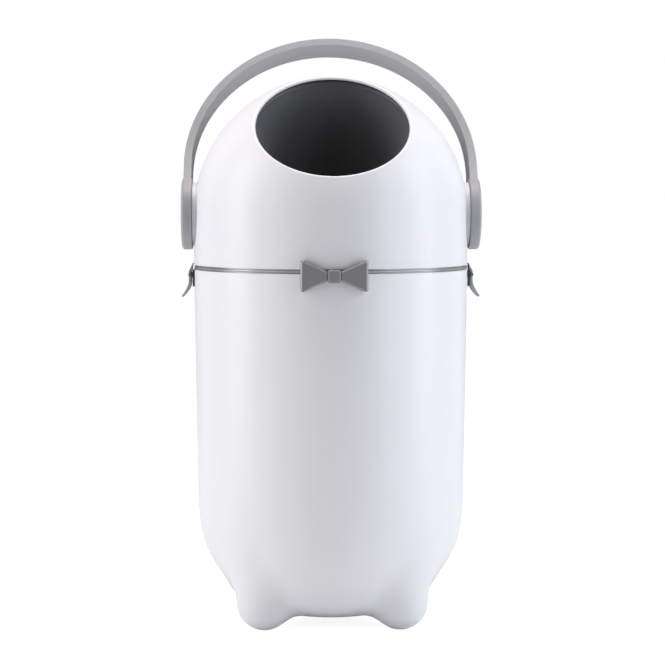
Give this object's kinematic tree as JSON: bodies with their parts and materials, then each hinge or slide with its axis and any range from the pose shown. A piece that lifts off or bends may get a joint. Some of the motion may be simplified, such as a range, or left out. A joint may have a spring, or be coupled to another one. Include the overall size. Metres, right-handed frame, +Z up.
{
  "type": "nappy disposal bin",
  "caption": "Tall round nappy bin on moulded feet, with a domed lift-off lid, a slanted hole and a swinging handle that turns the drum inside.",
  "frame": {"origin": "on the floor, under the bin's vertical axis", "axes": "+Z up along the bin's axis, -Y towards the front with the bow and the slanted hole, +X to the right seen from the front"},
  "size_m": [0.3052, 0.2869, 0.6005],
  "materials": {
    "white": "smooth satin-gloss moulded polypropylene",
    "grey": "fine matt moulded plastic",
    "charcoal": "fine matt moulded plastic",
    "rubber": "soft matt rubber",
    "bearing": "plain moulded acetal",
    "steel": "bright zinc-plated steel"
  },
  "bodies": {
    "bin": {"bin_shell": "white", "clip_bracket_left": "grey", "clip_pin_left": "steel", "bracket_screw_left_a": "steel", "bracket_screw_left_b": "steel", "clip_bracket_right": "grey", "clip_pin_right": "steel", "bracket_screw_right_a": "steel", "bracket_screw_right_b": "steel"},
    "lid": {"dome_shell": "white", "lid_ring": "grey", "lid_seal": "rubber", "drum_wiper": "rubber", "bow_wings": "grey", "bow_knot": "grey", "bow_screw_left": "steel", "bow_screw_right": "steel", "axle_bush_left": "bearing", "axle_bush_right": "bearing"},
    "rotor": {"drum": "charcoal", "handle": "grey", "axle_left": "steel", "flange_screw_left_a": "steel", "flange_screw_left_b": "steel", "handle_cap_left": "grey", "axle_screw_left": "steel", "axle_right": "steel", "flange_screw_right_a": "steel", "flange_screw_right_b": "steel", "handle_cap_right": "grey", "axle_screw_right": "steel"},
    "clip_left": {"clip_left": "grey"},
    "clip_right": {"clip_right": "grey"}
  },
  "joints": [
    {"name": "lid_lift", "type": "slide", "parent": "bin", "child": "lid", "axis": [0, 0, 1], "range_m": [0, 0.12]},
    {"name": "drum_turn", "type": "hinge", "parent": "lid", "child": "rotor", "pos_m": [0, 0, 0.416], "axis": [1, 0, 0], "range_deg": [0, 140]},
    {"name": "clip_swing_right", "type": "hinge", "parent": "bin", "child": "clip_right", "pos_m": [0.144, 0, 0.3542], "axis": [0, 1, 0], "range_deg": [-8, 14]},
    {"name": "clip_swing_left", "type": "hinge", "parent": "bin", "child": "clip_left", "pos_m": [-0.144, 0, 0.3542], "axis": [0, -1, 0], "range_deg": [-8, 14]}
  ]
}
